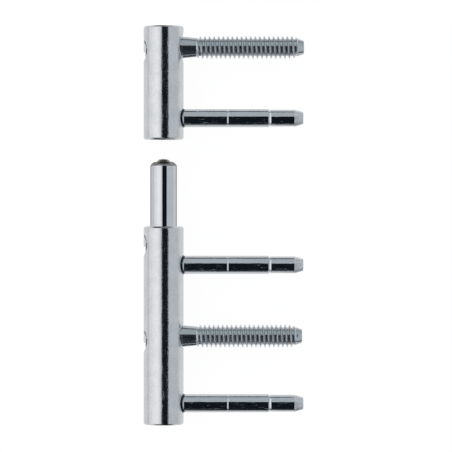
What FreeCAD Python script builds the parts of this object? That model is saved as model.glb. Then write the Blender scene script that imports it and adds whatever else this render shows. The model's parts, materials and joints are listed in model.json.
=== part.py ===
import FreeCAD, Part
import math
import os

from FreeCAD import Vector

# Lift-off drill-in hinge, shown pulled apart, lying on its side.
# The hinge axis is the Y axis. The frame barrel is at the bottom (low Y), the leaf barrel at the
# top (high Y), and every pin points along +X. The origin is the middle of the frame barrel's
# closed lower end. All sizes are millimetres.

# Barrels
barrel_diameter = 15.0
frame_barrel_length = 74.2
leaf_barrel_length = 42.4
end_chamfer = 0.5

# The gap between the barrels when the hinge is closed up, and from the axle's button to the leaf
# barrel as shown
seated_gap = 0.5
shown_gap = 7.3

# Clearances
running_clearance = 0.05
press_slack = 0.02
overshoot = 1.0

# Leaf socket: the wall left round its bush, and the wall left below the screw hole
socket_wall = 1.95
socket_to_screw_wall = 1.25

# Bush and thrust pad in the leaf socket
bush_wall = 0.5
bush_recess = 0.3
bush_to_pad = 0.8
pad_height = 3.9
pad_clearance = 0.1

# Axle: a loose ground pin in the frame barrel, with a domed chamfer at its tip
axle_shoulder = 1.5
axle_shoulder_bulge = 0.19
axle_seat_above_screw = 5.9
axle_slip = 0.03

# Hardened button pressed in the axle's tip. Its widths are shares of the axle's diameter, and the
# flat on its top is a share of its own narrow end.
button_base_share = 0.53
button_top_share = 0.36
button_flat_share = 0.5
button_height = 1.15
button_dome = 0.25
button_shank_length = 4.0

# Thin noses of the axle and the thrust pad, which run in the grooves of the screw pins
nose_diameter = 2.8
nose_hole_clearance = 0.1
nose_to_groove_floor = 0.15

# Screw pins: stub, grooved journal, neck, thread and plain tip on one turned piece.
# Lengths named "out" are measured from the barrel's surface.
frame_screw_height = 33.1
leaf_screw_below_top = 7.9
frame_screw_out = 44.4
leaf_screw_out = 45.1
journal_diameter = 8.7
journal_rear = 3.0
journal_front = 4.0
groove_diameter = 6.0
groove_width = 3.0
neck_diameter = 7.5
stub_diameter = 5.0
stub_clearance = 0.2
socket_across_flats = 3.0
socket_depth = 2.4
screw_hole_chamfer = 0.25

# Thread: ribs of the thread's pitch and depth, with few flat sides to keep the faces few
frame_thread_pitch = 1.673
leaf_thread_pitch = 1.714
first_crest_out = 5.05
thread_diameter = 8.7
first_rib_diameter = 7.75
last_rib_diameter = 7.6
thread_root_diameter = 6.4
thread_sides = 16
tip_length = 2.1
tip_end_diameter = 5.0

# Shallow countersink round the leaf's screw hole
countersink_diameter = 11.6
countersink_slope = 22.0

# Support pins: plain pins standing on spot faces
frame_lower_pin_height = 7.9
frame_upper_pin_below_top = 14.4
leaf_pin_height = 8.0
spot_face_diameter = 8.1
spot_face_depth = 1.2
foot_diameter = 5.6
foot_length = 0.65
collar_diameter = 7.6
collar_length = 0.7
support_diameter = 6.8
support_step_out = 32.5
support_end_diameter = 6.3
support_taper_out = 41.5
support_tip_diameter = 3.9
support_tip_radius = 0.4
support_out = 44.9

# Grub screw that locks the axle
grub_below_top = 6.8
grub_diameter = 5.0
grub_bite = 2.0
grub_socket_depth = 1.4

# Caps over the three key holes at the back, flush with the barrel, with a notch to prise them out
cap_diameter = 8.6
cap_slack = 0.05
cap_edge = 0.28
cap_to_screw = 0.1
cap_notch_depth = 0.8
cap_notch_below = 0.8
frame_cap_below_screw = 1.6
leaf_cap_below_screw = 1.05

# Barrel, leaf socket and axle, worked out from the inside of the leaf barrel to the axle's tip
barrel_radius = barrel_diameter / 2
screw_hole_radius = journal_diameter / 2 + running_clearance
leaf_bore_radius = barrel_radius - socket_wall
bush_inner_radius = leaf_bore_radius - bush_wall
axle_radius = bush_inner_radius - running_clearance
leaf_screw_height = leaf_barrel_length - leaf_screw_below_top
leaf_bore_depth = leaf_screw_height - screw_hole_radius - socket_to_screw_wall
pad_seat = leaf_bore_depth - pad_clearance - pad_height
button_tip = frame_barrel_length + seated_gap + pad_seat - running_clearance
axle_tip = button_tip - button_height
leaf_end = button_tip + shown_gap
axle_seat = frame_screw_height + axle_seat_above_screw

# Button and noses
button_base_radius = axle_radius * button_base_share
button_top_radius = axle_radius * button_top_share
nose_radius = nose_diameter / 2
nose_hole_radius = nose_radius + nose_hole_clearance
nose_gap_to_axis = groove_diameter / 2 + nose_to_groove_floor

# Key holes, caps and the places of the cross pieces
stub_hole_radius = stub_diameter / 2 + stub_clearance
cap_recess_radius = cap_diameter / 2 + cap_slack
cap_floor = cap_edge - math.sqrt(barrel_radius ** 2 - cap_recess_radius ** 2)
screw_back = cap_floor + cap_to_screw
spot_face_floor = barrel_radius - spot_face_depth
frame_upper_pin_height = frame_barrel_length - frame_upper_pin_below_top
grub_height = frame_barrel_length - grub_below_top
leaf_pin_at = leaf_end + leaf_pin_height
leaf_screw_at = leaf_end + leaf_screw_height
frame_cap_height = frame_screw_height - frame_cap_below_screw
leaf_cap_at = leaf_screw_at - leaf_cap_below_screw

ALONG_X = Vector(1, 0, 0)
ALONG_Y = Vector(0, 1, 0)


def turned(profile, base, direction):
    """A turned piece. The profile lists (distance along the axis, radius); the axis closes it."""
    flat = [Vector(along, radius, 0) for along, radius in profile]
    first = Vector(profile[0][0], 0, 0)
    last = Vector(profile[-1][0], 0, 0)
    outline = Part.makePolygon([first] + flat + [last, first])
    solid = Part.Face(outline).revolve(Vector(0, 0, 0), ALONG_X, 360)
    return placed(solid, base, direction)


def placed(solid, base, direction):
    """Turns a piece made along +X to the given direction and moves it to its base."""
    solid.Placement = FreeCAD.Placement(base, FreeCAD.Rotation(ALONG_X, direction))
    return solid


def rod(radius, start, end, base, direction):
    """A plain round bar or drill from start to end along the direction."""
    return turned([(start, radius), (end, radius)], base, direction)


def flat_sided(profile, sides, base):
    """A bar along X like a turned one, but with flat sides. The radii are those of its corners."""
    rings = []
    for along, radius in profile:
        ring = []
        for side in range(sides + 1):
            angle = math.radians(360) * (side % sides) / sides
            ring.append(base + Vector(along, radius * math.cos(angle), radius * math.sin(angle)))
        rings.append(ring)
    faces = [Part.Face(Part.makePolygon(rings[0])), Part.Face(Part.makePolygon(rings[-1]))]
    for lower, upper in zip(rings, rings[1:]):
        for side in range(sides):
            corners = [lower[side], lower[side + 1], upper[side + 1], upper[side], lower[side]]
            faces.append(Part.Face(Part.makePolygon(corners)))
    skin = Part.Compound(faces)
    skin.sewShape()
    return Part.makeSolid(skin.Shells[0])


def hexagon_bar(across_flats, start, end, base):
    """A hexagonal bar along X, used to cut a key socket."""
    corner = across_flats / 2 / math.cos(math.radians(30))
    return flat_sided([(start, corner), (end, corner)], 6, base)


def barrel(length, base):
    """A round barrel with both rims chamfered."""
    profile = [
        (0, barrel_radius - end_chamfer),
        (end_chamfer, barrel_radius),
        (length - end_chamfer, barrel_radius),
        (length, barrel_radius - end_chamfer),
    ]
    return turned(profile, base, ALONG_Y)


def spot_face(height):
    """The round pocket that a support pin stands in."""
    return rod(spot_face_diameter / 2, spot_face_floor, barrel_diameter, Vector(0, height, 0), ALONG_X)


def screw_hole(height):
    """The cross hole of a screw pin: wide at the front, narrow at the back for the key."""
    centre = Vector(0, height, 0)
    wide = rod(screw_hole_radius, -journal_rear, barrel_diameter, centre, ALONG_X)
    narrow = rod(stub_hole_radius, -barrel_diameter, 0, centre, ALONG_X)
    return wide.fuse(narrow)


def mouth_chamfer(height):
    """Breaks the outer edge of a screw hole with a light chamfer, widest where the barrel is proud."""
    start = barrel_radius - screw_hole_chamfer
    end = barrel_diameter
    profile = [(start, screw_hole_radius), (end, screw_hole_radius + end - start)]
    return turned(profile, Vector(0, height, 0), ALONG_X)


def countersink(height):
    """A shallow cone round a screw hole. It cuts the barrel above and below the hole."""
    slope = math.tan(math.radians(countersink_slope))
    outer = countersink_diameter / 2
    start = barrel_radius - (outer - screw_hole_radius) * slope
    wide = screw_hole_radius + (barrel_diameter - start) / slope
    return turned([(start, screw_hole_radius), (barrel_diameter, wide)], Vector(0, height, 0), ALONG_X)


def cap_recess(height):
    """The flat-bottomed recess that a cap is pressed into, at the back of a barrel."""
    return rod(cap_recess_radius, -barrel_diameter, cap_floor, Vector(0, height, 0), ALONG_X)


def frame_barrel():
    """The long lower barrel, bored for the axle from its top."""
    base = Vector(0, 0, 0)
    solid = barrel(frame_barrel_length, base)
    bore = rod(axle_radius + axle_slip, axle_seat, frame_barrel_length + overshoot, base, ALONG_Y)
    nose_hole = rod(nose_hole_radius, frame_screw_height, axle_seat, base, ALONG_Y)
    grub_hole = rod(grub_diameter / 2 + press_slack, -barrel_diameter, 0, Vector(0, grub_height, 0), ALONG_X)
    cuts = [
        bore,
        nose_hole,
        grub_hole,
        screw_hole(frame_screw_height),
        mouth_chamfer(frame_screw_height),
        spot_face(frame_lower_pin_height),
        spot_face(frame_upper_pin_height),
        cap_recess(frame_cap_height),
        cap_recess(grub_height),
    ]
    return solid.cut(cuts)


def leaf_barrel():
    """The short upper barrel: a blind socket from below, closed at the top."""
    base = Vector(0, leaf_end, 0)
    solid = barrel(leaf_barrel_length, base)
    socket = rod(leaf_bore_radius, -overshoot, leaf_bore_depth, base, ALONG_Y)
    nose_hole = rod(nose_hole_radius, leaf_bore_depth, leaf_screw_height, base, ALONG_Y)
    cuts = [
        socket,
        nose_hole,
        screw_hole(leaf_screw_at),
        countersink(leaf_screw_at),
        spot_face(leaf_pin_at),
        cap_recess(leaf_cap_at),
    ]
    return solid.cut(cuts)


def axle():
    """The axle stands on the bore's floor; its thin nose keeps the frame's screw pin in place.

    The chamfer at the top bulges a little, in two flats.
    """
    base = Vector(0, 0, 0)
    bulge = axle_shoulder_bulge * math.sin(math.radians(45))
    profile = [
        (frame_screw_height + nose_gap_to_axis, nose_radius),
        (axle_seat, nose_radius),
        (axle_seat, axle_radius),
        (axle_tip - axle_shoulder, axle_radius),
        (axle_tip - axle_shoulder / 2 + bulge, axle_radius - axle_shoulder / 2 + bulge),
        (axle_tip, axle_radius - axle_shoulder),
    ]
    shank_start = axle_tip - button_shank_length
    shank_hole = rod(button_top_radius + press_slack, shank_start, axle_tip + overshoot, base, ALONG_Y)
    grub_seat = rod(
        grub_diameter / 2 + press_slack,
        -barrel_radius,
        grub_bite - axle_radius,
        Vector(0, grub_height, 0),
        ALONG_X,
    )
    return turned(profile, base, ALONG_Y).cut([shank_hole, grub_seat])


def bearing_button():
    """The hardened button in the axle's tip that carries the leaf."""
    profile = [
        (axle_tip - button_shank_length, button_top_radius),
        (axle_tip, button_top_radius),
        (axle_tip, button_base_radius),
        (button_tip - button_dome, button_top_radius),
        (button_tip, button_top_radius * button_flat_share),
    ]
    return turned(profile, Vector(0, 0, 0), ALONG_Y)


def leaf_bush():
    """A thin plain bush that lines the socket."""
    base = Vector(0, leaf_end, 0)
    top = pad_seat - bush_to_pad
    outer = rod(leaf_bore_radius - press_slack, bush_recess, top, base, ALONG_Y)
    return outer.cut(rod(bush_inner_radius, -overshoot, top + overshoot, base, ALONG_Y))


def thrust_pad():
    """The pad above the bush. The button carries it, and its nose keeps the leaf's screw pin in place."""
    pad_radius = leaf_bore_radius - pad_clearance
    pad_top = pad_seat + pad_height
    nose_end = leaf_screw_height - nose_gap_to_axis
    profile = [
        (pad_seat, pad_radius),
        (pad_top, pad_radius),
        (pad_top, nose_radius),
        (nose_end, nose_radius),
    ]
    return turned(profile, Vector(0, leaf_end, 0), ALONG_Y)


def thread(pitch, end, base):
    """The ribs of a thread. The first one rises out of the neck and the last one is lower again."""
    crest = barrel_radius + first_crest_out
    ribs = int((end - crest - pitch / 2) / pitch) + 1
    crest_diameters = [first_rib_diameter] + [thread_diameter] * (ribs - 2) + [last_rib_diameter]
    profile = [(crest - pitch / 2, neck_diameter / 2)]
    for crest_diameter in crest_diameters:
        profile.append((crest, crest_diameter / 2))
        profile.append((crest + pitch / 2, thread_root_diameter / 2))
        crest += pitch
    profile.append((end, thread_root_diameter / 2))
    return flat_sided(profile, thread_sides, base)


def screw_pin(height, out, pitch):
    """A threaded pin that turns in its barrel, driven by a key from the back."""
    base = Vector(0, height, 0)
    stub = stub_diameter / 2
    journal = journal_diameter / 2
    groove = groove_width / 2
    neck = neck_diameter / 2
    neck_end = barrel_radius + first_crest_out - pitch / 2
    reach = barrel_radius + out
    thread_end = reach - tip_length
    inner_end = turned([
        (screw_back, stub),
        (-journal_rear, stub),
        (-journal_rear, journal),
        (-groove, journal),
        (-groove, groove_diameter / 2),
        (groove, groove_diameter / 2),
        (groove, journal),
        (journal_front, journal),
        (journal_front, neck),
        (neck_end, neck),
    ], base, ALONG_X)
    tip = turned([(thread_end, thread_root_diameter / 2), (reach, tip_end_diameter / 2)], base, ALONG_X)
    solid = inner_end.fuse([thread(pitch, thread_end, base), tip])
    key = hexagon_bar(socket_across_flats, screw_back - overshoot, screw_back + socket_depth, base)
    return solid.cut(key)


def support_pin(height):
    """A plain pin on its spot face: foot, collar, body, stepped end and tapered tip."""
    foot_end = spot_face_floor + foot_length
    collar_end = foot_end + collar_length
    step_at = barrel_radius + support_step_out
    body = support_diameter / 2
    end_radius = support_end_diameter / 2
    tip = support_tip_diameter / 2
    reach = barrel_radius + support_out
    profile = [
        (spot_face_floor, foot_diameter / 2),
        (foot_end, foot_diameter / 2),
        (foot_end, collar_diameter / 2),
        (collar_end, collar_diameter / 2),
        (collar_end, body),
        (step_at, body),
        (step_at, end_radius),
        (barrel_radius + support_taper_out, end_radius),
        (reach - support_tip_radius, tip + support_tip_radius),
        (reach, tip),
    ]
    return turned(profile, Vector(0, height, 0), ALONG_X)


def axle_grub_screw():
    """A short socket screw, let into the axle from the back of the frame barrel."""
    base = Vector(0, grub_height, 0)
    blank = rod(grub_diameter / 2, screw_back, grub_bite - axle_radius, base, ALONG_X)
    key = hexagon_bar(socket_across_flats, screw_back - overshoot, screw_back + grub_socket_depth, base)
    return blank.cut(key)


def key_hole_cap(height):
    """A pressed-in cap whose back follows the barrel. A notch in its lower part takes a blade."""
    radius = cap_diameter / 2
    disc = rod(radius, -barrel_diameter, cap_floor, Vector(0, height, 0), ALONG_X)
    round_back = rod(barrel_radius, height - cap_diameter, height + cap_diameter, Vector(0, 0, 0), ALONG_Y)
    notch_corner = Vector(-barrel_diameter, height - cap_diameter, -cap_diameter)
    notch_width = barrel_radius + cap_notch_depth
    notch = Part.makeBox(notch_width, cap_diameter - cap_notch_below, 2 * cap_diameter, notch_corner)
    return disc.common(round_back).cut(notch)


pieces = {
    "frame_barrel": frame_barrel(),
    "axle": axle(),
    "bearing_button": bearing_button(),
    "axle_grub_screw": axle_grub_screw(),
    "frame_support_pin_lower": support_pin(frame_lower_pin_height),
    "frame_support_pin_upper": support_pin(frame_upper_pin_height),
    "frame_screw_pin": screw_pin(frame_screw_height, frame_screw_out, frame_thread_pitch),
    "frame_screw_cap": key_hole_cap(frame_cap_height),
    "grub_screw_cap": key_hole_cap(grub_height),
    "leaf_barrel": leaf_barrel(),
    "leaf_bush": leaf_bush(),
    "thrust_pad": thrust_pad(),
    "leaf_support_pin": support_pin(leaf_pin_at),
    "leaf_screw_pin": screw_pin(leaf_screw_at, leaf_screw_out, leaf_thread_pitch),
    "leaf_screw_cap": key_hole_cap(leaf_cap_at),
}

os.makedirs("parts", exist_ok=True)
for name, solid in pieces.items():
    solid.exportStep("parts/" + name + ".step")
    print(name, "volume", round(solid.Volume, 2), "valid", solid.isValid(), "solids", len(solid.Solids))
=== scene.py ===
# %% [markdown]
# # A lift-off door hinge, pulled apart
#
# The hinge has two round barrels. The long one is screwed into the door frame and carries a ground
# axle. The short one is screwed into the door and drops over that axle. The pins that go into the
# wood stand out of both barrels to the right: plain support pins, and threaded pins that a key turns
# from behind. The hinge lies on a pale table and the camera looks straight down on it.
#
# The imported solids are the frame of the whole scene. They give every place and every overall size.
# The pieces made here stand in the same places, with the finer edges and the real threads.

# %% Load the frame
import json
import math

import bmesh
import bpy
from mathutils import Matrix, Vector


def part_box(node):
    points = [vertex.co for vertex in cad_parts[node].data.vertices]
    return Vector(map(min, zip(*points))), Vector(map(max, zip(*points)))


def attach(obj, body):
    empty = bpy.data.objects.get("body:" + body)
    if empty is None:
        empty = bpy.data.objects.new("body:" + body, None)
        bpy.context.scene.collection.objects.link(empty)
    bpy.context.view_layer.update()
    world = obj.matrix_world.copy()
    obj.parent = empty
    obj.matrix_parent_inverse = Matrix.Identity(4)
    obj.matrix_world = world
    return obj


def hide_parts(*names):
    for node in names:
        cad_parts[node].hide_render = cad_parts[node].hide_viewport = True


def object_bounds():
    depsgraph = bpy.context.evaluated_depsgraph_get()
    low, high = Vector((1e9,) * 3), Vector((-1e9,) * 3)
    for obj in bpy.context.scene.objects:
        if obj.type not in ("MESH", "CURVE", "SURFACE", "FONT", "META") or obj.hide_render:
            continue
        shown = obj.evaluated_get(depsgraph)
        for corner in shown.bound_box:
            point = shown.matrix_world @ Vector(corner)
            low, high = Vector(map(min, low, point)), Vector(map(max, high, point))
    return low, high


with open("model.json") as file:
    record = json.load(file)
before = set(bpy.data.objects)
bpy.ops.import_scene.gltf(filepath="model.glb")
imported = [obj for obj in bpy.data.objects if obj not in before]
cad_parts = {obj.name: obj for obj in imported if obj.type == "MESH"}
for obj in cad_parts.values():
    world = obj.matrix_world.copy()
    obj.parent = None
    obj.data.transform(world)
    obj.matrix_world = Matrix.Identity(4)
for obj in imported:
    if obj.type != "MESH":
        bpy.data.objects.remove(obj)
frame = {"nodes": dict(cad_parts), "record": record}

cad_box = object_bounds()
scene = bpy.context.scene
MM = 0.001
print("solids in the frame:", ", ".join(sorted(frame["nodes"])))

# %% [markdown]
# ## The camera
#
# The photograph has hardly any perspective, so the camera stands far away with a long lens. It looks
# straight down, which needs no rotation in Blender: a new camera already looks along -Z with +Y up.

# %% Camera
CAMERA_HEIGHT = 1.125
SENSOR_WIDTH = 36.0
PICTURE_WIDTH = 169.5 * MM
PICTURE_MIDDLE = (23.4 * MM, 74.35 * MM)

lens = bpy.data.cameras.new("camera")
lens.sensor_width = SENSOR_WIDTH
lens.lens = SENSOR_WIDTH * CAMERA_HEIGHT / PICTURE_WIDTH
lens.clip_start = 0.05
lens.clip_end = 20.0
camera = bpy.data.objects.new("camera", lens)
camera.location = (*PICTURE_MIDDLE, CAMERA_HEIGHT)
scene.collection.objects.link(camera)
scene.camera = camera
scene.view_settings.view_transform = "Standard"
print("lens", round(lens.lens, 1), "mm")

# %% [markdown]
# ## Writing shaders as sums
#
# A node tree is easier to read as a formula than as a heap of links. `Wire` wraps one output socket.
# Adding or multiplying wires adds the Math nodes. Every other node comes from `Tree.add`, which sets
# the node's own settings first and then its sockets, from plain values or from wires.

# %% Wires and trees
class Wire:
    """One output socket of a node, which can be used in sums."""

    def __init__(self, tree, socket):
        self.tree = tree
        self.socket = socket

    def maths(self, operation, first, second):
        return self.tree.add("ShaderNodeMath", {"operation": operation}, {0: first, 1: second})

    def __add__(self, other):
        return self.maths("ADD", self, other)

    __radd__ = __add__

    def __mul__(self, other):
        return self.maths("MULTIPLY", self, other)

    __rmul__ = __mul__

    def __sub__(self, other):
        return self.maths("SUBTRACT", self, other)

    def __rsub__(self, other):
        return self.maths("SUBTRACT", other, self)

    def __neg__(self):
        return self.maths("MULTIPLY", self, -1.0)

    def larger(self, other):
        return self.maths("MAXIMUM", self, other)


class Tree:
    """The nodes of one material or world."""

    def __init__(self, owner):
        owner.use_nodes = True
        self.nodes = owner.node_tree.nodes
        self.links = owner.node_tree.links
        self.nodes.clear()

    def add(self, kind, settings=None, sockets=None, output=0):
        node = self.nodes.new(kind)
        for name, value in (settings or {}).items():
            if name == "stops":
                self.set_stops(node.color_ramp.elements, value)
            else:
                setattr(node, name, value)
        for name, value in (sockets or {}).items():
            if isinstance(value, Wire):
                self.links.new(value.socket, node.inputs[name])
            else:
                node.inputs[name].default_value = value
        return Wire(self, node.outputs[output]) if node.outputs else None

    def set_stops(self, elements, stops):
        while len(elements) < len(stops):
            elements.new(0.5)
        for element, (position, colour) in zip(elements, stops):
            element.position = position
            element.color = (*colour, 1.0)

    def smooth_step(self, value, low, high):
        """0 below low, 1 above high, with a soft bend in between."""
        return self.add(
            "ShaderNodeMapRange",
            {"interpolation_type": "SMOOTHSTEP"},
            {"Value": value, "From Min": low, "From Max": high},
        )

    def noise(self, where, scale, detail, roughness=0.5):
        return self.add(
            "ShaderNodeTexNoise",
            {"noise_dimensions": "3D"},
            {"Vector": where, "Scale": scale, "Detail": detail, "Roughness": roughness},
        )

    def mix(self, share, first, second):
        """A colour between two others. Sockets 6 and 7 and output 2 are a Mix node's colour ones."""
        settings = {"data_type": "RGBA", "blend_type": "MIX", "clamp_factor": True}
        sockets = {"Factor": share, 6: first, 7: second}
        return self.add("ShaderNodeMix", settings, sockets, output=2)

    def stretched(self, where, scale):
        """The coordinates, scaled by a vector."""
        return self.add("ShaderNodeVectorMath", {"operation": "MULTIPLY"}, {0: where, 1: scale})

    def parts(self, vector):
        """The three numbers of a vector."""
        node = self.add("ShaderNodeSeparateXYZ", sockets={"Vector": vector}).socket.node
        return [Wire(self, output) for output in node.outputs]

    def place_in_mm(self):
        """The place on the object itself. Its coordinates are metres and come out as millimetres."""
        return self.stretched(self.add("ShaderNodeTexCoord", output="Object"), (1 / MM, 1 / MM, 1 / MM))

    def bump(self, height):
        """The normal of a surface that has this height, in metres."""
        return self.add("ShaderNodeBump", sockets={"Strength": 1.0, "Distance": 1.0, "Height": height})

    def principled(self, sockets):
        """A Principled surface with these sockets, as the material's output."""
        surface = self.add("ShaderNodeBsdfPrincipled", sockets=sockets)
        self.add("ShaderNodeOutputMaterial", sockets={"Surface": surface})


print("helpers ready")

# %% [markdown]
# ## The studio
#
# Polished metal shows what stands round it more than its own colour. A studio for it is a white tent
# with a dark slot: here a bright side on the left, a dimmer and slightly blue one on the right, and
# between them a black strip that runs down towards the bottom of the picture. On an upright barrel
# the strip shows as one narrow black line, and on a level pin as a wide black band.
#
# Softboxes could be modelled as glowing cards. The world does the same with no card in the way of
# other views: it reads only the direction of a ray. Each edge of the strip is a plane through the
# hinge, so a sum of direction parts says on which side of it a ray runs.
#
# The bright side is brightest half way up and falls off towards the strip and towards the table.
# Low down, before and behind, the tent is open and dark, which gives every chamfer that faces
# along the hinge axis its dark line. On the right of the far side it is open only in part, because
# the tapered necks show no strong line along their upper edges. The strip has a wide foot on its
# right, which reaches down past the table's edge, so that the necks and the threads stay dark down
# to their lower edges.

# %% Sky directions
STRIP_LEFT = math.radians(10.0)
STRIP_RIGHT = math.radians(28.5)
STRIP_TOP = math.radians(20.0)
STRIP_EDGE = 0.02
LEFT_SKY = (1.03, 1.04, 1.05)
# The bright side's level by how far left a ray points, from straight up to level.
LEFT_LEVELS = [(0.17, 0.56), (0.36, 0.84), (0.60, 1.0), (0.85, 0.93), (1.0, 0.81)]
RIGHT_SKY = (0.56, 0.595, 0.625)
FAR_SKY = (0.475, 0.52, 0.545)
STRIP_SKY = (0.006, 0.009, 0.013)
OPENING_SKY = (0.035, 0.04, 0.045)
TABLE_LIGHT = (0.76, 0.765, 0.77)
TABLE_EDGE_LIGHT = (0.65, 0.655, 0.665)
WHITE = (1.0, 1.0, 1.0)
PARTLY_OPEN = 0.5
# Each pair below is where a part of the sky fades in, measured on one part of a ray's direction.
SIDES_MEET = (-0.17, 0.0)
FAR_SIDE = (0.25, 0.55)
TABLE_EDGE = (-0.34, -0.2)
HORIZON = (-0.08, 0.02)
OPENING_SIDE = (0.25, 0.9)
OPENING_BOTTOM = (-0.32, -0.22)
OPENING_TOP = (0.06, 0.14)
PARTLY_OPEN_RIGHT = (0.05, 0.15)
PARTLY_OPEN_FAR = (0.0, 0.2)
STRIP_FOOT_LEFT = (0.015, 0.045)
STRIP_FOOT_RIGHT = (0.25, 0.31)
STRIP_FOOT_NEAR = (0.3, 0.5)
STRIP_FOOT_BOTTOM = (-0.9, -0.75)
STRIP_FOOT_TOP = (0.35, 0.6)
print("strip from", round(-math.degrees(STRIP_LEFT)), "to", round(math.degrees(STRIP_RIGHT)), "degrees")

# %% [markdown]
# The sky is built up in layers, and each is mixed over the ones before: the two sides, the strip, the
# table, the openings and last the foot of the strip.

# %% Layers of the sky
def colour(rgb):
    """A colour as the four numbers that a colour socket holds."""
    return (*rgb, 1.0)


world = bpy.data.worlds.new("studio")
scene.world = world
sky = Tree(world)
direction = sky.add("ShaderNodeTexCoord", output="Generated")
along_x, along_y, up = sky.parts(direction)
right_of_start = along_x * math.cos(STRIP_LEFT) + up * math.sin(STRIP_LEFT)
left_of_end = up * math.sin(STRIP_RIGHT) - along_x * math.cos(STRIP_RIGHT)
below_top = math.sin(STRIP_TOP) - along_y
strip = sky.smooth_step(right_of_start, -STRIP_EDGE, STRIP_EDGE)
strip = strip * sky.smooth_step(left_of_end, -STRIP_EDGE, STRIP_EDGE)
strip = strip * sky.smooth_step(below_top, -STRIP_EDGE, STRIP_EDGE)
left_levels = [(place, (level, level, level)) for place, level in LEFT_LEVELS]
left_shade = sky.add("ShaderNodeValToRGB", {"stops": left_levels}, {"Fac": -along_x})
left_side = sky.stretched(left_shade, LEFT_SKY)
right_side = sky.mix(sky.smooth_step(along_y, *FAR_SIDE), colour(RIGHT_SKY), colour(FAR_SKY))
tent = sky.mix(sky.smooth_step(along_x, *SIDES_MEET), left_side, right_side)
tent = sky.mix(strip, tent, colour(STRIP_SKY))
table = sky.mix(sky.smooth_step(up, *TABLE_EDGE), colour(TABLE_LIGHT), colour(TABLE_EDGE_LIGHT))
tent = sky.mix(sky.smooth_step(up, *HORIZON), table, tent)
opening = sky.smooth_step(along_y.larger(-along_y), *OPENING_SIDE)
opening = opening * sky.smooth_step(up, *OPENING_BOTTOM) * (1.0 - sky.smooth_step(up, *OPENING_TOP))
far_right = sky.smooth_step(along_x, *PARTLY_OPEN_RIGHT) * sky.smooth_step(along_y, *PARTLY_OPEN_FAR)
opening = opening * (1.0 - PARTLY_OPEN * far_right)
tent = sky.mix(opening, tent, colour(OPENING_SKY))
strip_foot = sky.smooth_step(along_x, *STRIP_FOOT_LEFT)
strip_foot = strip_foot * (1.0 - sky.smooth_step(along_x, *STRIP_FOOT_RIGHT))
strip_foot = strip_foot * sky.smooth_step(-along_y, *STRIP_FOOT_NEAR)
strip_foot = strip_foot * sky.smooth_step(up, *STRIP_FOOT_BOTTOM)
strip_foot = strip_foot * (1.0 - sky.smooth_step(up, *STRIP_FOOT_TOP))
tent = sky.mix(strip_foot, tent, colour(STRIP_SKY))
print("nodes for the tent:", len(sky.nodes))

# %% [markdown]
# A ray from the camera that misses everything must come back white, as the photograph's ground does.
# Light Path tells such rays from those that light the metal.

# %% World output
seen = sky.add("ShaderNodeLightPath", output="Is Camera Ray")
tent_light = sky.add("ShaderNodeBackground", sockets={"Color": tent, "Strength": 1.0})
plain_white = sky.add("ShaderNodeBackground", sockets={"Color": colour(WHITE), "Strength": 1.0})
both = sky.add("ShaderNodeMixShader", sockets={0: seen, 1: tent_light, 2: plain_white})
sky.add("ShaderNodeOutputWorld", sockets={"Surface": both})
print("world nodes:", len(sky.nodes))

# %% [markdown]
# ## The floor
#
# The floor is a large pale disc at the barrels' lowest line. To the camera it mostly glows plain
# white, so that only a faint shadow stays under the hinge. The metal doesn't reflect the disc: it
# sees the world's own table light, whose level can be set by direction.

# %% Floor
FLOOR_RADIUS = 3.0
FLOOR_STEPS = 96
FLOOR_COLOUR = (0.86, 0.86, 0.86)
FLOOR_GLOW = 0.88
FLOOR_GLOW_STRENGTH = 1.08

table_height = cad_box[0].z
disc = bmesh.new()
bmesh.ops.create_circle(disc, cap_ends=True, segments=FLOOR_STEPS, radius=FLOOR_RADIUS)
floor_mesh = bpy.data.meshes.new("floor")
disc.to_mesh(floor_mesh)
disc.free()
floor = bpy.data.objects.new("floor", floor_mesh)
floor.location = (*PICTURE_MIDDLE, table_height)
scene.collection.objects.link(floor)
floor.visible_glossy = False

paint = bpy.data.materials.new("floor_white")
tree = Tree(paint)
camera_ray = tree.add("ShaderNodeLightPath", output="Is Camera Ray")
through_ray = tree.add("ShaderNodeLightPath", output="Is Transmission Ray")
looked_at = camera_ray.larger(through_ray)
lit = tree.add("ShaderNodeBsdfDiffuse", sockets={"Color": colour(FLOOR_COLOUR)})
glow_sockets = {"Color": colour(WHITE), "Strength": FLOOR_GLOW_STRENGTH}
glow = tree.add("ShaderNodeEmission", sockets=glow_sockets)
surface = tree.add("ShaderNodeMixShader", sockets={0: looked_at * FLOOR_GLOW, 1: lit, 2: glow})
tree.add("ShaderNodeOutputMaterial", sockets={"Surface": surface})
floor_mesh.materials.append(paint)
print("floor at", round(table_height / MM, 2), "mm")

# %% [markdown]
# ## Zinc plate, ground steel and the bush
#
# All the steel is bright and slightly uneven. Drawn bar keeps faint streaks along its length, and
# zinc plate adds a soft mottling. Both are under a fiftieth of a millimetre deep, but polished metal
# doubles every tilt, so they fray the edges of the black reflections. Noise that is stretched along
# the bar makes the streaks, and plain noise makes the mottling. They drive the bump, and a little of
# the colour and the roughness.
#
# The coordinates are the object's own, which in this frame are metres. They are turned to
# millimetres first, so that every scale below reads as waves per millimetre.

# %% Metal finishes
AXLE_SHOULDER = 1.5
TAPER_AT = 49.0
STREAK_STRETCH = 0.12
STREAK_WAVES = 2.6
MOTTLE_WAVES = 1.3
CLOUD_WAVES = 0.22
STREAK_SHARE = 0.3
MOTTLE_SHARE = 0.4
CLOUD_SHARE = 0.3
STAIN_RANGE = (0.38, 0.62)
SCUFF_RANGE = (0.55, 0.72)
ROUGHNESS_SWING = 0.5
END_BORDER = 0.05
SPECKLE_WAVES = 1.6
SPECKLE_RANGE = (0.35, 0.65)
# How far out the painted pocket shade fades, in millimetres.
PAINTED_SHADE_FADE = 0.35


def darker_and_lighter(base, tint):
    """Two colours, a share below and above the base."""
    dark = [part * (1 - tint) for part in base]
    light = [min(1.0, part * (1 + tint)) for part in base]
    return colour(dark), colour(light)


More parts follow.
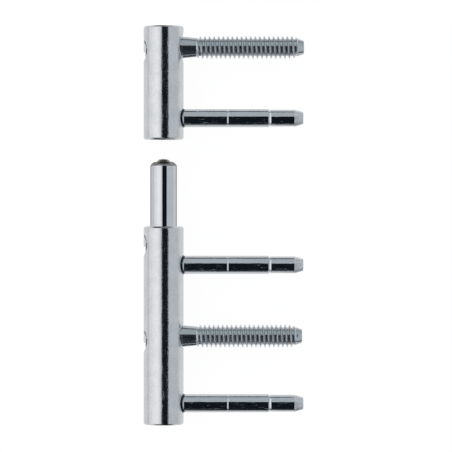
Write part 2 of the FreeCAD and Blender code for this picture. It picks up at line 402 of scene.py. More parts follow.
def metal(
    name, base, lengthwise, roughness, streak_depth, mottle_depth,
    tint=0.04, scuff=0.0, edge=1.0, end=None, painted_shade=None,
):
    """A bright metal with streaks along one axis and a soft mottling. Depths are in millimetres.

    The tint is how far the colour varies, the scuff how much duller the deepest streaks are, and the
    edge the tint of grazing reflections. The end is (place along the axis in millimetres, colour, its
    variation, roughness) of a part left as turned. The last argument is (distance from the hinge axis,
    colour) of a near black painted shade on what lies closer to the axis: the shadow in a barrel's
    pocket.
    """
    material = bpy.data.materials.new(name)
    tree = Tree(material)
    place = tree.place_in_mm()
    slow = [STREAK_STRETCH if axis == lengthwise else 1.0 for axis in "XYZ"]
    streaks = tree.noise(tree.stretched(place, slow), STREAK_WAVES, detail=3.0, roughness=0.6)
    mottle = tree.noise(place, MOTTLE_WAVES, detail=3.0, roughness=0.55)
    clouds = tree.noise(place, CLOUD_WAVES, detail=1.0)
    bump = tree.bump(streaks * (streak_depth * MM) + mottle * (mottle_depth * MM))
    uneven = streaks * STREAK_SHARE + mottle * MOTTLE_SHARE + clouds * CLOUD_SHARE
    stain = tree.smooth_step(uneven, *STAIN_RANGE)
    shade = tree.mix(stain, *darker_and_lighter(base, tint))
    swing = roughness * ROUGHNESS_SWING
    rough = roughness + (mottle - 0.5) * swing + (clouds - 0.5) * swing
    rough = rough + tree.smooth_step(streaks, *SCUFF_RANGE) * scuff
    if end:
        end_at, end_base, end_tint, end_roughness = end
        along = tree.parts(place)["XYZ".index(lengthwise)]
        turned = tree.smooth_step(along, end_at - END_BORDER, end_at + END_BORDER)
        speckle = tree.smooth_step(tree.noise(place, SPECKLE_WAVES, detail=3.0), *SPECKLE_RANGE)
        shade = tree.mix(turned, shade, tree.mix(speckle, *darker_and_lighter(end_base, end_tint)))
        rough = rough + turned * (end_roughness - roughness)
    # A near black painted shade on all that lies closer to the hinge axis than the reach: the shadow of
    # the barrel's pocket on a pin's foot and collar.
    if painted_shade:
        painted_shade_reach, painted_shade_colour = painted_shade
        outwards = tree.stretched(place, (1.0, 0.0, 1.0))
        distance = tree.add(
            "ShaderNodeVectorMath", {"operation": "LENGTH"}, {0: outwards}, output="Value",
        )
        outside_painted_shade = tree.smooth_step(distance, painted_shade_reach, painted_shade_reach + PAINTED_SHADE_FADE)
        shade = tree.mix(outside_painted_shade, colour(painted_shade_colour), shade)
    sockets = {"Base Color": shade, "Metallic": 1.0, "Roughness": rough, "Normal": bump}
    sockets["Specular Tint"] = colour((edge, edge, edge))
    tree.principled(sockets)
    return material


pin_end = (TAPER_AT, (0.88, 0.90, 0.95), 0.12, 0.42)
# The pins' painted shade: near black within 7.93 mm of the hinge axis, where the pocket shades the foot
# and the root of the collar.
pin_foot_painted_shade = (7.93, (0.05, 0.055, 0.065))
axle_end = (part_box("axle")[1].y / MM - AXLE_SHOULDER, (0.42, 0.41, 0.41), 0.25, 0.30)
finishes = {
    "zinc_barrel": metal(
        "zinc_on_barrel", (0.74, 0.75, 0.77), lengthwise="Y",
        roughness=0.13, streak_depth=0.014, mottle_depth=0.016, tint=0.07, scuff=0.16,
    ),
    "zinc_pin": metal(
        "zinc_on_pin", (0.72, 0.74, 0.77), lengthwise="X",
        roughness=0.08, streak_depth=0.008, mottle_depth=0.003, scuff=0.20,
        end=pin_end, painted_shade=pin_foot_painted_shade,
    ),
    "zinc_screw": metal(
        "zinc_on_thread", (0.60, 0.63, 0.665), lengthwise="X",
        roughness=0.20, streak_depth=0.004, mottle_depth=0.008,
    ),
    "ground_steel": metal(
        "ground_steel", (0.74, 0.75, 0.78), lengthwise="Y",
        roughness=0.05, streak_depth=0.002, mottle_depth=0.003, edge=0.35, end=axle_end,
    ),
    "hardened_steel": metal(
        "hardened_steel", (0.46, 0.41, 0.37), lengthwise="Y",
        roughness=0.42, streak_depth=0.004, mottle_depth=0.008,
    ),
}
print("finishes:", ", ".join(finishes))

# %% [markdown]
# The bush is a thin dark liner for a dry bearing. Its polymer has a fine grain and a low sheen.

# %% Bush polymer
GRAIN_WAVES = 5.0
GRAIN_BRIGHTENING = 1.5
GRAIN_ROUGHNESS_SWING = 0.2


def polymer(name, base, roughness, grain_depth):
    """A dark bearing polymer with a fine grain. The depth is in millimetres."""
    material = bpy.data.materials.new(name)
    tree = Tree(material)
    grain = tree.noise(tree.place_in_mm(), GRAIN_WAVES, detail=4.0, roughness=0.6)
    bump = tree.bump(grain * (grain_depth * MM))
    light = [part * GRAIN_BRIGHTENING for part in base]
    shade = tree.mix(grain, colour(base), colour(light))
    rough = roughness + (grain - 0.5) * GRAIN_ROUGHNESS_SWING
    tree.principled({"Base Color": shade, "Roughness": rough, "Normal": bump})
    return material


bush_grey = (0.05, 0.05, 0.055)
finishes["bush_polymer"] = polymer("bush_polymer", bush_grey, roughness=0.55, grain_depth=0.01)
print("finishes:", len(finishes))

# %% [markdown]
# ## Turned pieces
#
# Nearly everything here was made on a lathe, so it is made here the same way: half an outline, spun
# round an axis. A Screw modifier would do it too, but writing the rings by hand lets the threads
# later share them. No real edge is razor sharp. `rounded` replaces a corner of the outline by a small
# arc, and that arc is what catches the light along an edge.

# %% Outlines with rounded corners
ARC_STEPS = 4


def rounded(corners):
    """The outline through (along, radius, rounding) corners in millimetres, rounded by arcs."""
    outline = []
    for index, (along, radius, rounding) in enumerate(corners):
        here = Vector((along, radius))
        if rounding == 0 or index in (0, len(corners) - 1):
            outline.append(here)
            continue
        back = (Vector(corners[index - 1][:2]) - here).normalized()
        ahead = (Vector(corners[index + 1][:2]) - here).normalized()
        half = back.angle(ahead) / 2
        middle = here + (back + ahead).normalized() * (rounding / math.sin(half))
        reach = rounding / math.tan(half)
        first = here + back * reach - middle
        last = here + ahead * reach - middle
        for step in range(ARC_STEPS + 1):
            arm = first.lerp(last, step / ARC_STEPS).normalized()
            outline.append(middle + arm * rounding)
    return outline


print("a rounded corner has", len(rounded([(0, 1, 0), (1, 1, 0.2), (1, 0, 0)])) - 2, "points")

# %% [markdown]
# `spin` makes the mesh. A point on the axis becomes one vertex, so that flat ends close as a fan.
# The axis is X for the pins and Y for the barrels and the axle.

# %% Spinning an outline
TURN_STEPS = 192
SMALL_TURN_STEPS = 96
ON_AXIS = 1e-6


def around(axis, along, radius, angle):
    """A point in metres, from millimetres along and out from the axis. Angle 0 is +Y or +X."""
    sideways = radius * math.cos(angle)
    upwards = radius * math.sin(angle)
    if axis == "X":
        return Vector((along, sideways, upwards)) * MM
    return Vector((sideways, along, upwards)) * MM


def add_ring(shape, axis, along, radius, steps):
    """A ring of vertices, or the same single vertex all round where the outline meets the axis."""
    if radius < ON_AXIS:
        return [shape.verts.new(around(axis, along, 0.0, 0.0))] * steps
    angles = [2 * math.pi * step / steps for step in range(steps)]
    return [shape.verts.new(around(axis, along, radius, angle)) for angle in angles]


def add_face(shape, corners):
    """A face through the corners that differ, if at least three do."""
    distinct = list(dict.fromkeys(corners))
    if len(distinct) > 2:
        shape.faces.new(distinct)


def join_rings(shape, first, second):
    steps = len(first)
    for step in range(steps):
        following = (step + 1) % steps
        add_face(shape, [first[step], first[following], second[following], second[step]])


def spin(outline, axis, steps=TURN_STEPS, closed=False):
    """The turned mesh of an outline. A closed outline makes a ring with a hole through it."""
    shape = bmesh.new()
    rings = [add_ring(shape, axis, along, radius, steps) for along, radius in outline]
    for first, second in zip(rings, rings[1:]):
        join_rings(shape, first, second)
    if closed:
        join_rings(shape, rings[-1], rings[0])
    return shape


def moved(shape, y):
    """The shape, moved up the hinge axis by millimetres."""
    bmesh.ops.translate(shape, verts=shape.verts, vec=Vector((0.0, y, 0.0)) * MM)
    return shape


SHARP_ANGLE = math.radians(30)


def to_mesh(shape, name):
    """A smooth shaded mesh whose real corners stay crisp."""
    bmesh.ops.recalc_face_normals(shape, faces=shape.faces)
    mesh = bpy.data.meshes.new(name)
    shape.to_mesh(mesh)
    shape.free()
    mesh.shade_smooth()
    mesh.set_sharp_from_angle(angle=SHARP_ANGLE)
    return mesh


print("turned pieces have", TURN_STEPS, "steps")

# %% [markdown]
# ## Setting a piece in its place
#
# `finish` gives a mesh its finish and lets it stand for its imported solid. The record says which body
# and which material slot that solid has, so the new piece follows the same joint.

# %% Standing for a solid
slots = {part["node"]: part["material_slot"] for part in frame["record"]["subparts"]}
bodies = frame["record"]["behaviour"]["bodies"]
body_of = {node: body for body, nodes in bodies.items() for node in nodes}


def finish(mesh, node):
    """A visible piece made of the mesh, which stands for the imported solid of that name."""
    piece = bpy.data.objects.new(node + "_finished", mesh)
    scene.collection.objects.link(piece)
    mesh.materials.append(finishes[slots[node]])
    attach(piece, body_of[node])
    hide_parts(node)
    corners = [vertex.co for vertex in mesh.vertices]
    low = [round(min(corner[axis] for corner in corners) / MM, 2) for axis in range(3)]
    high = [round(max(corner[axis] for corner in corners) / MM, 2) for axis in range(3)]
    print(piece.name, len(mesh.polygons), "faces,", low, "to", high)


def box_mm(node):
    """The solid's lowest and highest corners in millimetres."""
    low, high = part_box(node)
    return low / MM, high / MM


print("bodies:", ", ".join(sorted(bodies)))

# %% [markdown]
# ## Drilling
#
# The barrels are drilled from the side after turning. A Boolean modifier with a spun drill does the
# same. Where it cuts a round barrel, the faces next to the cut are flat pieces of many sizes, and
# their shading would kink the reflections. So the wall of the barrel gets its true normals back: on
# a round bar they point straight out from the axis.

# %% Cutting and true normals
def cut(mesh, drills, operation="DIFFERENCE"):
    """The mesh with every drill cut out of it, or only what lies inside them with INTERSECT."""
    blank = bpy.data.objects.new("blank", mesh)
    scene.collection.objects.link(blank)
    helpers = [blank]
    for drill in drills:
        tool = bpy.data.objects.new("drill", to_mesh(drill, "drill"))
        scene.collection.objects.link(tool)
        helpers.append(tool)
        step = blank.modifiers.new("drilled", "BOOLEAN")
        step.operation = operation
        step.solver = "EXACT"
        step.object = tool
    depsgraph = bpy.context.evaluated_depsgraph_get()
    result = bpy.data.meshes.new_from_object(blank.evaluated_get(depsgraph))
    for helper in helpers:
        bpy.data.objects.remove(helper)
    result.materials.clear()
    result.shade_smooth()
    result.set_sharp_from_angle(angle=SHARP_ANGLE)
    return result


WALL_TOLERANCE = 0.002 * MM
WALL_TILT = 0.01


def from_axis(place, axis, height):
    """The arm straight out to a place from the Y axis, or from a cross axis at a height."""
    if axis == "Y":
        return Vector((place.x, 0.0, place.z))
    return Vector((0.0, place.y - height * MM, place.z))


def true_walls(mesh, radii, axis="Y", height=0.0):
    """Gives the round walls at these radii in millimetres, about an axis, their exact normals."""
    normals = [Vector((0.0, 0.0, 0.0))] * len(mesh.loops)
    for face in mesh.polygons:
        arms = [from_axis(mesh.vertices[index].co, axis, height) for index in face.vertices]
        for radius in radii:
            spread = max(abs(arm.length - radius * MM) for arm in arms)
            if abs(face.normal["XYZ".index(axis)]) < WALL_TILT and spread < WALL_TOLERANCE:
                side = 1.0 if face.normal.dot(from_axis(face.center, axis, height)) > 0 else -1.0
                for loop, arm in zip(face.loop_indices, arms):
                    normals[loop] = arm.normalized() * side
    mesh.normals_split_custom_set(normals)


print("cutting helpers ready")

# %% [markdown]
# ## The barrels
#
# Each barrel is a length of 15 mm bar. The frame barrel is bored from its upper end for the axle, and
# the leaf barrel from its lower end for the bush, the thrust pad and the lifted axle. From the right
# come the screw pin's hole and the flat-bottomed pockets of the support pins. From behind come the
# narrow key holes and the grub screw's hole, each in the round recess of its cap.

# %% Sizes of the barrels
BARREL_RADIUS = box_mm("frame_barrel")[1].z
RIM = 0.5
RIM_ROUNDING = 0.12
UPPER_RIM = 0.62
UPPER_RIM_ROUNDING = 0.2
BORE_ROUNDING = 0.08
AXLE_BORE = 5.03
NOSE_BORE = 1.5
LEAF_BORE = 5.55
SCREW_HOLE = 4.4
KEY_HOLE = 2.7
SCREW_HOLE_BACK = -3.0
MOUTH_RADIUS = 4.65
MOUTH_SLOPE = 1.0
COUNTERSINK_RADIUS = 5.8
COUNTERSINK_SLOPE = math.tan(math.radians(22.0))
POCKET_RADIUS = 4.05
CAP_SLACK = 0.05
CLEAR_OUTSIDE = 15.0


def middle(node):
    """How far up the hinge axis a cross piece sits, in millimetres."""
    low, high = box_mm(node)
    return (low.y + high.y) / 2


print("barrel radius", round(BARREL_RADIUS, 3))

# %% [markdown]
# A drill is the shape of the metal that comes out. A screw pin's hole is narrow behind, for the key,
# and wide in front. One function makes it for both barrels, because only the cone at its mouth
# differs. The pockets, the caps' recesses and the grub screw's hole are all plain rods.

# %% Drills
def screw_drill(height, mouth_radius, mouth_slope):
    """The hole of a screw pin, narrow behind and wide in front, where it opens into a cone.

    The cone is mouth_radius wide at the barrel's outside. The slope is its length by its widening.
    """
    mouth = BARREL_RADIUS - (mouth_radius - SCREW_HOLE) * mouth_slope
    outline = [
        (-CLEAR_OUTSIDE, 0.0),
        (-CLEAR_OUTSIDE, KEY_HOLE),
        (SCREW_HOLE_BACK, KEY_HOLE),
        (SCREW_HOLE_BACK, SCREW_HOLE),
        (mouth, SCREW_HOLE),
        (CLEAR_OUTSIDE, SCREW_HOLE + (CLEAR_OUTSIDE - mouth) / mouth_slope),
        (CLEAR_OUTSIDE, 0.0),
    ]
    return moved(spin(outline, "X"), y=height)


def rod(start, end, radius, height=0.0, axis="X"):
    """A plain cylinder between two places along X at a height, or along the hinge axis itself."""
    outline = [(start, 0.0), (start, radius), (end, radius), (end, 0.0)]
    return moved(spin(outline, axis), y=height)


def pocket_drill(node):
    """The flat-bottomed pocket that a support pin stands in."""
    return rod(box_mm(node)[0].x, CLEAR_OUTSIDE, POCKET_RADIUS, middle(node))


def half_across(node):
    """Half of a cross piece's diameter, in millimetres."""
    low, high = box_mm(node)
    return (high.z - low.z) / 2


def cap_drill(node):
    """The recess that a cap is pressed into, at the back."""
    return rod(-CLEAR_OUTSIDE, box_mm(node)[1].x, half_across(node) + CAP_SLACK, middle(node))


print("drills ready")

# %% [markdown]
# The frame barrel is closed below and bored from above. The bore could be one more cut. Here it is
# part of the outline instead, because a spun wall is evenly round. Below the axle's seat a narrow
# bore for the axle's nose goes on to the screw pin. The upper edge has a wider chamfer than the lower.

# %% Frame barrel
AXLE_SEAT_ABOVE_SCREW = 5.9
GRUB_RADIUS = 2.5
GRUB_SLACK = 0.02
GRUB_HOLE = GRUB_RADIUS + GRUB_SLACK
GRUB_HOLE_END = -2.0

frame_screw_y = middle("frame_screw_pin")
grub_y = middle("axle_grub_screw")
frame_length = box_mm("frame_barrel")[1].y
axle_seat = frame_screw_y + AXLE_SEAT_ABOVE_SCREW
blank = spin(rounded([
    (0.0, 0.0, 0.0),
    (0.0, BARREL_RADIUS - RIM, RIM_ROUNDING),
    (RIM, BARREL_RADIUS, RIM_ROUNDING),
    (frame_length - UPPER_RIM, BARREL_RADIUS, RIM_ROUNDING),
    (frame_length, BARREL_RADIUS - UPPER_RIM, UPPER_RIM_ROUNDING),
    (frame_length, AXLE_BORE, BORE_ROUNDING),
    (axle_seat, AXLE_BORE, 0.0),
    (axle_seat, NOSE_BORE, 0.0),
    (frame_screw_y, NOSE_BORE, 0.0),
    (frame_screw_y, 0.0, 0.0),
]), "Y")
frame_barrel = cut(to_mesh(blank, "frame_barrel_finished"), [
    screw_drill(frame_screw_y, MOUTH_RADIUS, MOUTH_SLOPE),
    pocket_drill("frame_support_pin_lower"),
    pocket_drill("frame_support_pin_upper"),
    rod(-CLEAR_OUTSIDE, GRUB_HOLE_END, GRUB_HOLE, grub_y),
    cap_drill("frame_screw_cap"),
    cap_drill("grub_screw_cap"),
])
true_walls(frame_barrel, [BARREL_RADIUS, AXLE_BORE])
finish(frame_barrel, "frame_barrel")

# %% [markdown]
# The leaf barrel is made the same way, upside down: closed above and bored from below. Its bore holds
# the bush and the thrust pad. The mouth of its screw hole is a wide countersink.

# %% Leaf barrel
PAD_SEAT_DEPTH = 4.0

leaf_low, leaf_high = box_mm("leaf_barrel")
leaf_screw_y = middle("leaf_screw_pin")
pad_seat = box_mm("thrust_pad")[0].y + PAD_SEAT_DEPTH
blank = spin(rounded([
    (leaf_high.y, 0.0, 0.0),
    (leaf_high.y, BARREL_RADIUS - RIM, RIM_ROUNDING),
    (leaf_high.y - RIM, BARREL_RADIUS, RIM_ROUNDING),
    (leaf_low.y + RIM, BARREL_RADIUS, RIM_ROUNDING),
    (leaf_low.y, BARREL_RADIUS - RIM, RIM_ROUNDING),
    (leaf_low.y, LEAF_BORE, BORE_ROUNDING),
    (pad_seat, LEAF_BORE, 0.0),
    (pad_seat, NOSE_BORE, 0.0),
    (leaf_screw_y, NOSE_BORE, 0.0),
    (leaf_screw_y, 0.0, 0.0),
]), "Y")
leaf_barrel = cut(to_mesh(blank, "leaf_barrel_finished"), [
    screw_drill(leaf_screw_y, COUNTERSINK_RADIUS, COUNTERSINK_SLOPE),
    pocket_drill("leaf_support_pin"),
    cap_drill("leaf_screw_cap"),
])
true_walls(leaf_barrel, [BARREL_RADIUS, LEAF_BORE])
finish(leaf_barrel, "leaf_barrel")

# %% [markdown]
# ## The caps at the back
#
# Three caps close the two key holes and the grub screw's hole. Their backs follow the barrel, so each
# is what a slice of bar and a disc share. A fine gap runs round it, and a notch in its lower part
# takes a blade that prises it out.

# %% Caps
CAP_GAP = 0.5
CAP_NOTCH_DEPTH = 0.8
CAP_NOTCH_BELOW = 0.8


def block(low, high):
    """A box between two corners in millimetres."""
    shape = bmesh.new()
    bmesh.ops.create_cube(shape, size=1.0)
    low, high = Vector(low) * MM, Vector(high) * MM
    for vertex in shape.verts:
        vertex.co = Vector([low[axis] if vertex.co[axis] < 0 else high[axis] for axis in range(3)])
    return shape


def hole_cap(node):
    low, high = box_mm(node)
    bar = rod(low.y, high.y, BARREL_RADIUS, axis="Y")
    disc = rod(-CLEAR_OUTSIDE, high.x, half_across(node) - CAP_GAP, middle(node))
    cap = cut(to_mesh(bar, node + "_finished"), [disc], "INTERSECT")
    notch_end = middle(node) - CAP_NOTCH_BELOW
    notch = block(
        (-CLEAR_OUTSIDE, low.y, -CLEAR_OUTSIDE),
        (CAP_NOTCH_DEPTH - BARREL_RADIUS, notch_end, CLEAR_OUTSIDE),
    )
    cap = cut(cap, [notch])
    true_walls(cap, [BARREL_RADIUS])
    finish(cap, node)


for node in ("frame_screw_cap", "grub_screw_cap", "leaf_screw_cap"):
    hole_cap(node)

# %% [markdown]
# ## The axle and what runs on it
#
# The axle is ground and polished, brighter than the plated barrels. Its tip has a domed chamfer,
# and a hardened button in it carries the door's weight. Its thin nose reaches down into the groove of
# the frame's screw pin and keeps that pin from coming out.

# %% Axle
AXLE_RADIUS = 5.0
AXLE_NOSE = 1.4
SHANK_RADIUS = 1.82
SHANK_LENGTH = 4.0
SHOULDER_STEPS = 12
SHOULDER_TILTS = (25.0, 65.0)

axle_low, axle_high = box_mm("axle")
first_tilt, last_tilt = [math.radians(tilt) for tilt in SHOULDER_TILTS]
dome = AXLE_SHOULDER / (math.sin(last_tilt) - math.sin(first_tilt))
shoulder = []
for step in range(SHOULDER_STEPS + 1):
    tilt = first_tilt + (last_tilt - first_tilt) * step / SHOULDER_STEPS
    along = axle_high.y - dome * (math.sin(last_tilt) - math.sin(tilt))
    shoulder.append(Vector((along, AXLE_RADIUS - dome * (math.cos(first_tilt) - math.cos(tilt)))))
start = [Vector(point) for point in (
    (axle_low.y, 0.0),
    (axle_low.y, AXLE_NOSE),
    (axle_seat, AXLE_NOSE),
    (axle_seat, AXLE_RADIUS),
)]
end = [Vector(point) for point in (
    (axle_high.y, SHANK_RADIUS),
    (axle_high.y - SHANK_LENGTH, SHANK_RADIUS),
    (axle_high.y - SHANK_LENGTH, 0.0),
)]
grub_seat = rod(-BARREL_RADIUS, box_mm("axle_grub_screw")[1].x, GRUB_HOLE, grub_y)
axle = cut(to_mesh(spin(start + shoulder + end, "Y"), "axle_finished"), [grub_seat])
true_walls(axle, [AXLE_RADIUS])
finish(axle, "axle")

# %% [markdown]
# The seated leaf rests on the button through the thrust pad, and the bush guides it round the axle.
# The pad's nose holds the leaf's screw pin as the axle's nose holds the frame's. All three are
# turned. The bush's outline is closed, which leaves a hole through it. The button is so small that
# half the steps make it round.

# %% Button, bush and pad
BUTTON_BASE = 2.65
BUTTON_TOP = 1.8
BUTTON_DOME = 0.25
BUTTON_ROUNDING = 0.6
BUTTON_SHANK = 1.8
BUTTON_SHANK_ROUNDING = 0.1
BUSH_INNER = 5.05
BUSH_OUTER = 5.53
PAD_RADIUS = 5.45
PAD_HEIGHT = 3.9
PAD_ROUNDING = 0.2

button_low, button_high = box_mm("bearing_button")
button = spin(rounded([
    (button_low.y, 0.0, 0.0),
    (button_low.y, BUTTON_SHANK, BUTTON_SHANK_ROUNDING),
    (axle_high.y, BUTTON_SHANK, 0.0),
    (axle_high.y, BUTTON_BASE, 0.0),
    (button_high.y - BUTTON_DOME, BUTTON_TOP, BUTTON_ROUNDING),
    (button_high.y, 0.0, 0.0),
]), "Y", steps=SMALL_TURN_STEPS)
finish(to_mesh(button, "bearing_button_finished"), "bearing_button")

bush_low, bush_high = box_mm("leaf_bush")
bush = spin(rounded([
    (bush_low.y, BUSH_INNER, 0.0),
    (bush_low.y, BUSH_OUTER, 0.0),
    (bush_high.y, BUSH_OUTER, 0.0),
    (bush_high.y, BUSH_INNER, 0.0),
]), "Y", closed=True)
finish(to_mesh(bush, "leaf_bush_finished"), "leaf_bush")

pad_low, pad_high = box_mm("thrust_pad")
pad = spin(rounded([
    (pad_low.y, 0.0, 0.0),
    (pad_low.y, PAD_RADIUS, PAD_ROUNDING),
    (pad_low.y + PAD_HEIGHT, PAD_RADIUS, PAD_ROUNDING),
    (pad_low.y + PAD_HEIGHT, AXLE_NOSE, 0.0),
    (pad_high.y, AXLE_NOSE, PAD_ROUNDING),
    (pad_high.y, 0.0, 0.0),
]), "Y")
finish(to_mesh(pad, "thrust_pad_finished"), "thrust_pad")

# %% [markdown]
# ## The support pins
#
# Three plain pins stand on the floors of their pockets. The foot and the root of the collar lie inside
# the barrel's round, and a near black painted shade on them makes the dark crescent of the pocket's
# shadow. The rest of the collar, zinc plated as all the pin is, tapers to the pin and catches the
# light.
# Further out each pin has a fine groove and a wider one where its end is turned down a little. The
# walls of a groove tilt towards the bright sides of the studio, so it crosses the black band as a white
# line.

# %% Support pins
FOOT_RADIUS = 2.6
FOOT_LENGTH = 0.65
COLLAR_RADIUS = 3.8
COLLAR_END_RADIUS = 3.58
COLLAR_LENGTH = 0.7
COLLAR_BEVEL = 0.08
SUPPORT_RADIUS = 3.4
SUPPORT_END = 3.15
SMALL_ROUNDING = 0.05
FINE_GROOVE_AT = 24.05
FINE_GROOVE_HALF = 0.24
FINE_GROOVE_DEPTH = 0.12
STEP_GROOVE_AT = 39.82
STEP_GROOVE_HALF = 0.5
STEP_GROOVE_DEPTH = 0.45
STEP_GROOVE_LEAN = 0.2
TAPER_START_ROUNDING = 0.1
TAPER_END_RADIUS = 2.25
TAPER_END_ROUNDING = 0.45


def support_pin(node):
    low, high = box_mm(node)
    foot_end = low.x + FOOT_LENGTH
    collar_end = foot_end + COLLAR_LENGTH
    groove_floor = SUPPORT_RADIUS - STEP_GROOVE_DEPTH
    outline = rounded([
        (low.x, 0.0, 0.0),
        (low.x, FOOT_RADIUS, 0.0),
        (foot_end, FOOT_RADIUS, 0.0),
        (foot_end, COLLAR_RADIUS, COLLAR_BEVEL),
        (collar_end - COLLAR_BEVEL, COLLAR_END_RADIUS, SMALL_ROUNDING),
        (collar_end, SUPPORT_RADIUS, 0.0),
        (FINE_GROOVE_AT - FINE_GROOVE_HALF, SUPPORT_RADIUS, SMALL_ROUNDING),
        (FINE_GROOVE_AT, SUPPORT_RADIUS - FINE_GROOVE_DEPTH, SMALL_ROUNDING),
        (FINE_GROOVE_AT + FINE_GROOVE_HALF, SUPPORT_RADIUS, SMALL_ROUNDING),
        (STEP_GROOVE_AT - STEP_GROOVE_HALF, SUPPORT_RADIUS, SMALL_ROUNDING),
        (STEP_GROOVE_AT - STEP_GROOVE_LEAN, groove_floor, SMALL_ROUNDING),
        (STEP_GROOVE_AT + STEP_GROOVE_HALF, SUPPORT_END, SMALL_ROUNDING),
        (TAPER_AT, SUPPORT_END, TAPER_START_ROUNDING),
        (high.x, TAPER_END_RADIUS, TAPER_END_ROUNDING),
        (high.x, 0.0, 0.0),
    ])
    mesh = to_mesh(moved(spin(outline, "X"), y=middle(node)), node + "_finished")
    true_walls(mesh, [SUPPORT_RADIUS, SUPPORT_END], "X", middle(node))
    finish(mesh, node)


for node in ("frame_support_pin_lower", "frame_support_pin_upper", "leaf_support_pin"):
    support_pin(node)

# %% [markdown]
# ## The threads
#
# A thread is a grid whose rows follow the helix: each row climbs by one pitch on its way round and
# joins the row that lies one pitch further on. The crest and the root are rows of their own, so both
# stay sharp however coarse the grid is. Rows that would leave the threaded length are held at its
# ends, where they share the vertices of a plain ring, and the faces that collapse there are skipped.
#
# The thread is right-handed. It rises out of the neck over the first turn and runs out into the
# plain tip over the last turn and a half. The run-outs below are all counted in pitches.

# %% Thread rows
THREAD_STEPS = 96
CREST_RADIUS = 4.3
ROOT_RADIUS = 3.2
CREST_ABOVE_NECK = 0.08
CREST_RISES_FROM = -0.1
CREST_RISES_TO = 1.1
ROOT_DROPS_BY = 0.8
CREST_RUN_OUT = 1.5
ROOT_RUN_OUT = 0.7
# One pitch of the thread: the share of the pitch, and the share of the depth.
THREAD_ROWS = [
    (0.00, 0.00), (0.05, 0.04), (0.11, 0.24), (0.18, 0.56), (0.25, 0.88), (0.30, 1.00),
    (0.70, 1.00), (0.75, 0.88), (0.82, 0.56), (0.89, 0.24), (0.95, 0.04),
]


def ramp(value, low, high):
    """0 below low and 1 above high, straight in between."""
    return min(1.0, max(0.0, (value - low) / (high - low)))


def thread_radius(along, depth, start, end, neck, tip, pitch):
    """The radius at a place on the thread, from its share of the depth and the two run-outs."""
    rise = ramp(along, start + CREST_RISES_FROM * pitch, start + CREST_RISES_TO * pitch)
    fall = ramp(along, end - CREST_RUN_OUT * pitch, end)
    first_crest = neck + CREST_ABOVE_NECK
    crest = first_crest + (CREST_RADIUS - first_crest) * rise
    root = neck + (ROOT_RADIUS - neck) * ramp(along, start, start + ROOT_DROPS_BY * pitch)
    crest += (tip - crest) * fall ** 2
    root += (tip - root) * ramp(along, end - ROOT_RUN_OUT * pitch, end)
    return crest + (root - crest) * depth


def add_thread(shape, first_ring, last_ring, start, end, neck, tip, crest_at, pitch):
    """Faces between two rings of vertices, raised into a right-handed thread."""
    rows = len(THREAD_ROWS)
    lowest = math.floor((start - crest_at) / pitch - 1) * rows
    highest = math.ceil((end - crest_at) / pitch + 1) * rows
    made = {}

    def vertex(row, step):
        if step == THREAD_STEPS:
            row, step = row + rows, 0
        turn, part = divmod(row, rows)
        share, depth = THREAD_ROWS[part]
        along = crest_at + pitch * (turn + share + step / THREAD_STEPS)
        if along <= start:
            return first_ring[step]
        if along >= end:
            return last_ring[step]
        if (row, step) not in made:
            radius = thread_radius(along, depth, start, end, neck, tip, pitch)
            angle = 2 * math.pi * step / THREAD_STEPS
            made[row, step] = shape.verts.new(around("X", along, radius, angle))
        return made[row, step]

    for row in range(lowest, highest):
        for step in range(THREAD_STEPS):
            here = [vertex(row, step), vertex(row, step + 1)]
            above = [vertex(row + 1, step + 1), vertex(row + 1, step)]
            add_face(shape, here + above)


print("rows to a pitch:", len(THREAD_ROWS))

# %% [markdown]
# ## The screw pins
#
# A screw pin is one turned piece. A journal with a groove runs in the barrel, a nose in that groove
# keeps it there, and the neck leads to the thread. A hexagon socket in the rear end takes the key.

# %% Screw pins
JOURNAL_RADIUS = 4.35
JOURNAL_FRONT = 4.0
JOURNAL_ROUNDING = 0.1
GROOVE_RADIUS = 3.0
GROOVE_HALF = 1.5
NECK_RADIUS = 4.05
NECK_END_RADIUS = 3.55
NECK_TAPER_AT = 7.2
NECK_ROUNDING = 0.3
THREAD_START = 12.2
NECK_LAST_RING = 0.3
TIP_RADIUS = 3.2
TIP_END_RADIUS = 2.5
TIP_LENGTH = 2.1
TIP_ROUNDING = 0.3
STUB_RADIUS = 2.5
STUB_ROUNDING = 0.08
SOCKET_FLATS = 3.0
SOCKET_DEPTH = 2.4
KEY_OVERLAP = 1.0


def key_socket(back, depth):
    """The hexagonal key that cuts a socket, from outside the rear end to its depth."""
    corner = SOCKET_FLATS / 2 / math.cos(math.radians(30))
    start, end = back - KEY_OVERLAP, back + depth
    return spin([(start, 0.0), (start, corner), (end, corner), (end, 0.0)], "X", steps=6)


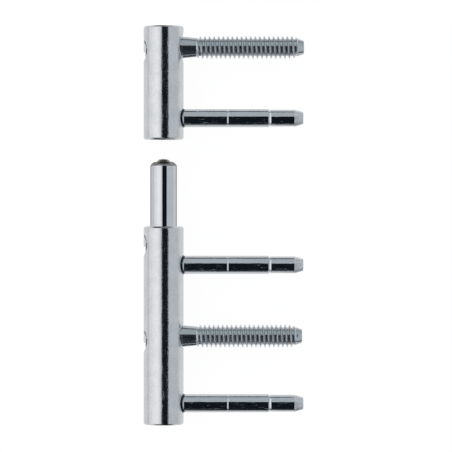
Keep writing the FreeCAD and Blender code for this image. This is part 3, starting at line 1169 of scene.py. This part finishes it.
def screw_pin(node, crest_at, pitch):
    low, high = box_mm(node)
    back, reach = low.x, high.x
    thread_end = reach - TIP_LENGTH
    neck_slope = (NECK_RADIUS - NECK_END_RADIUS) / (THREAD_START - NECK_TAPER_AT)
    shape = bmesh.new()
    lower = rounded([
        (back, 0.0, 0.0),
        (back, STUB_RADIUS, STUB_ROUNDING),
        (SCREW_HOLE_BACK, STUB_RADIUS, 0.0),
        (SCREW_HOLE_BACK, JOURNAL_RADIUS, JOURNAL_ROUNDING),
        (-GROOVE_HALF, JOURNAL_RADIUS, JOURNAL_ROUNDING),
        (-GROOVE_HALF, GROOVE_RADIUS, 0.0),
        (GROOVE_HALF, GROOVE_RADIUS, 0.0),
        (GROOVE_HALF, JOURNAL_RADIUS, JOURNAL_ROUNDING),
        (JOURNAL_FRONT, JOURNAL_RADIUS, JOURNAL_ROUNDING),
        (JOURNAL_FRONT, NECK_RADIUS, 0.0),
        (NECK_TAPER_AT, NECK_RADIUS, NECK_ROUNDING),
        (THREAD_START - NECK_LAST_RING, NECK_END_RADIUS + NECK_LAST_RING * neck_slope, 0.0),
        (THREAD_START, NECK_END_RADIUS, 0.0),
    ])
    upper = rounded([
        (thread_end, TIP_RADIUS, 0.0),
        (reach, TIP_END_RADIUS, TIP_ROUNDING),
        (reach, 0.0, 0.0),
    ])
    lower_rings = [add_ring(shape, "X", along, radius, THREAD_STEPS) for along, radius in lower]
    upper_rings = [add_ring(shape, "X", along, radius, THREAD_STEPS) for along, radius in upper]
    for rings in (lower_rings, upper_rings):
        for first, second in zip(rings, rings[1:]):
            join_rings(shape, first, second)
    add_thread(
        shape, lower_rings[-1], upper_rings[0], THREAD_START, thread_end,
        NECK_END_RADIUS, TIP_RADIUS, crest_at, pitch,
    )
    mesh = cut(to_mesh(moved(shape, y=middle(node)), node + "_finished"), [
        moved(key_socket(back, SOCKET_DEPTH), y=middle(node)),
    ])
    finish(mesh, node)


FIRST_CREST = 13.78
screw_pin("leaf_screw_pin", FIRST_CREST, pitch=1.714)
screw_pin("frame_screw_pin", FIRST_CREST, pitch=1.673)

# %% [markdown]
# ## The grub screw
#
# A short socket screw in the back of the frame barrel presses on a small seat in the axle.

# %% Grub screw
GRUB_SOCKET = 1.6
GRUB_ROUNDING = 0.08

grub_low, grub_high = box_mm("axle_grub_screw")
grub = spin(rounded([
    (grub_low.x, 0.0, 0.0),
    (grub_low.x, GRUB_RADIUS, GRUB_ROUNDING),
    (grub_high.x, GRUB_RADIUS, 0.0),
    (grub_high.x, 0.0, 0.0),
]), "X", steps=SMALL_TURN_STEPS)
grub_mesh = cut(to_mesh(moved(grub, y=grub_y), "axle_grub_screw_finished"), [
    moved(key_socket(grub_low.x, GRUB_SOCKET), y=grub_y),
])
finish(grub_mesh, "axle_grub_screw")

# %% [markdown]
# ## The packed box
#
# The visual pieces keep within the imported solids. The box of those solids is printed here.

# %% Print the packed box
print("packed box", [round(v / MM, 2) for corner in cad_box for v in corner])
